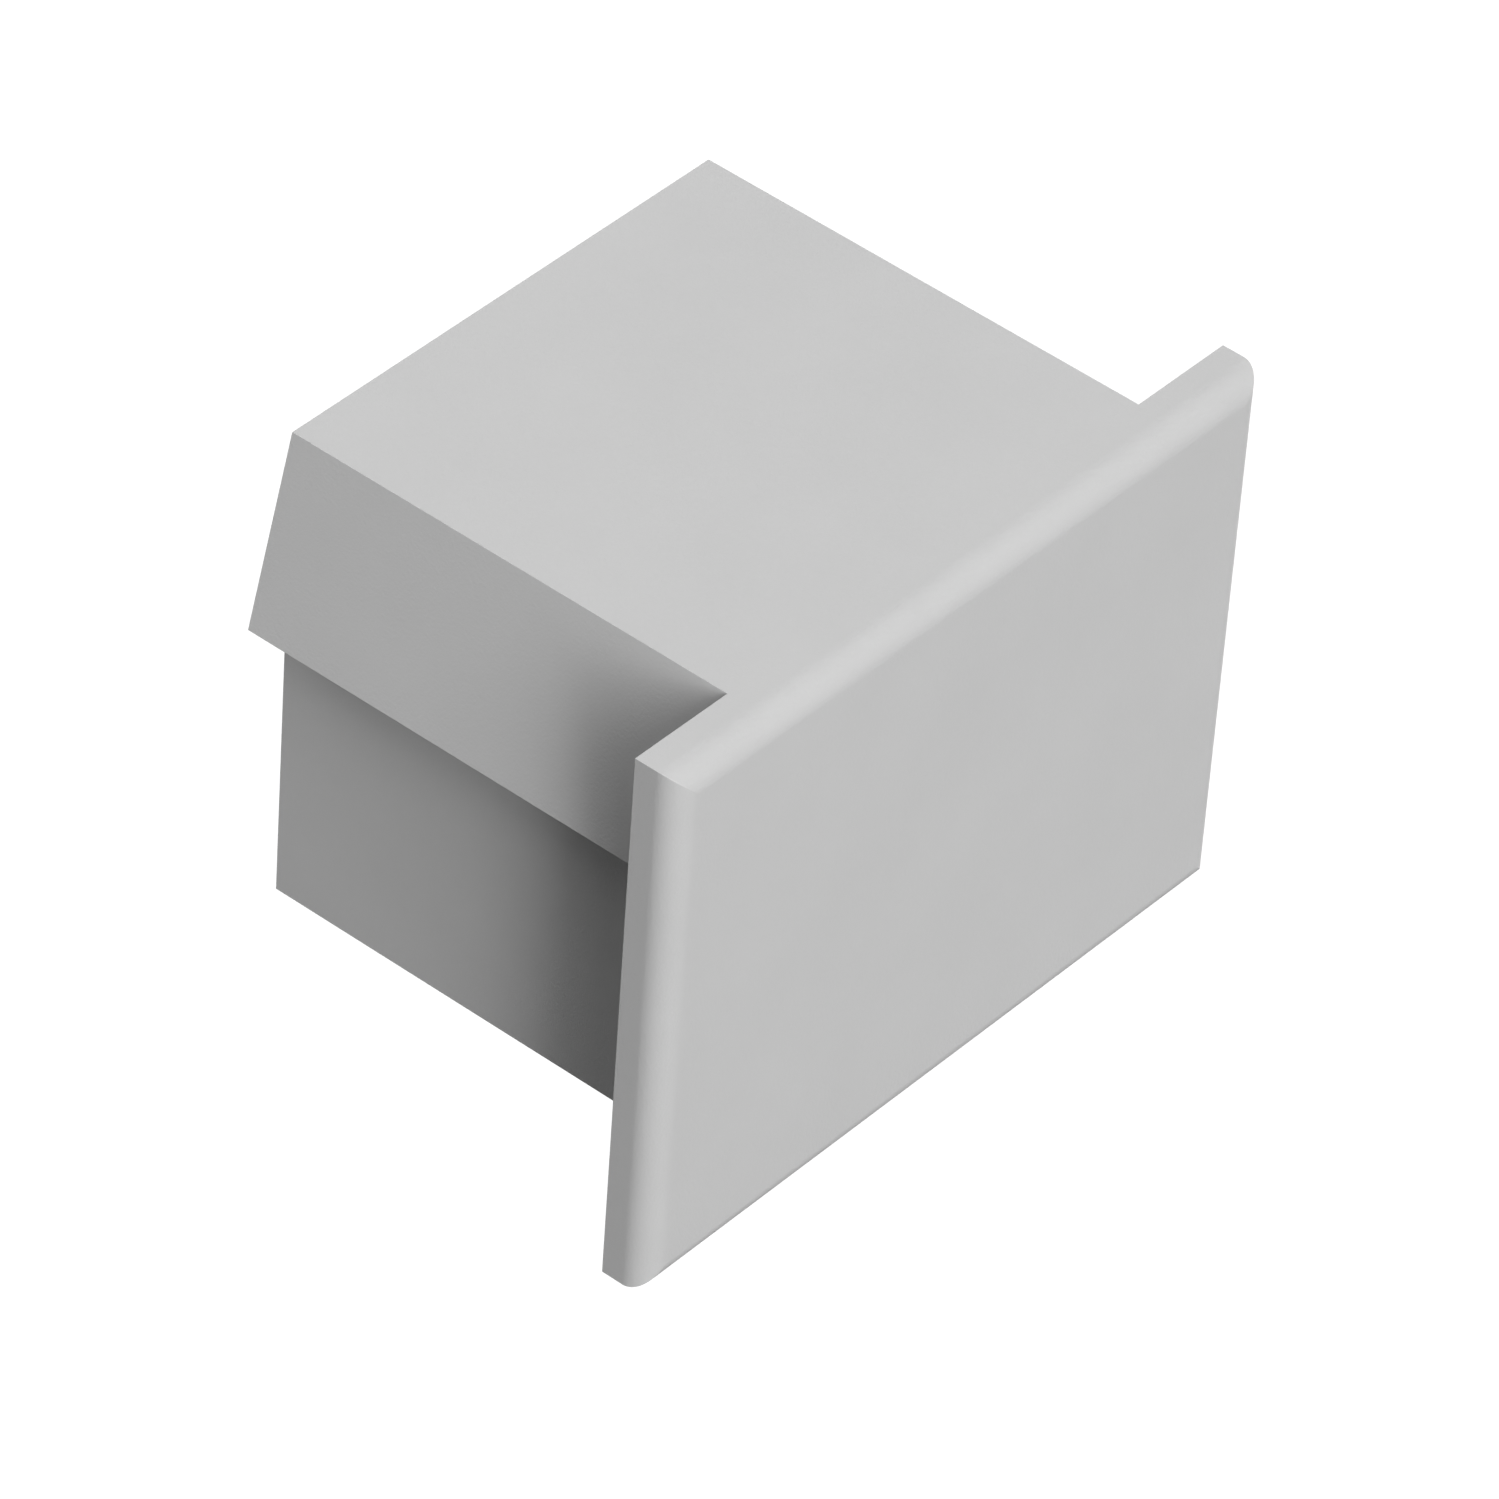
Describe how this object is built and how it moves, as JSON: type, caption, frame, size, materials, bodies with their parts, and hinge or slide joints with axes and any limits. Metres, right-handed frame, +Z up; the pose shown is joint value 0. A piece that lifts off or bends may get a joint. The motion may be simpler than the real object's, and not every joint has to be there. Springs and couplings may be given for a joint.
{
  "type": "profile end cap",
  "caption": "One-piece moulded end cap for a small extruded channel: a thin cover plate with a rounded front rim and a solid dovetail plug behind it, flush along the top.",
  "frame": {"origin": "middle of the channel's 16 x 12 mm outer section, in the plane of the cover plate's back face, which seats on the channel's cut end", "axes": "+X across the channel, +Y from the cover plate into the channel along the plug, +Z up towards the channel's open mouth, where plate and plug are flush"},
  "size_m": [0.016, 0.0112, 0.012],
  "materials": {
    "moulded_grey": "neutral light grey moulded plastic, satin to matt, one colour throughout"
  },
  "bodies": {
    "root": {"end_cap": "moulded_grey"}
  },
  "joints": []
}
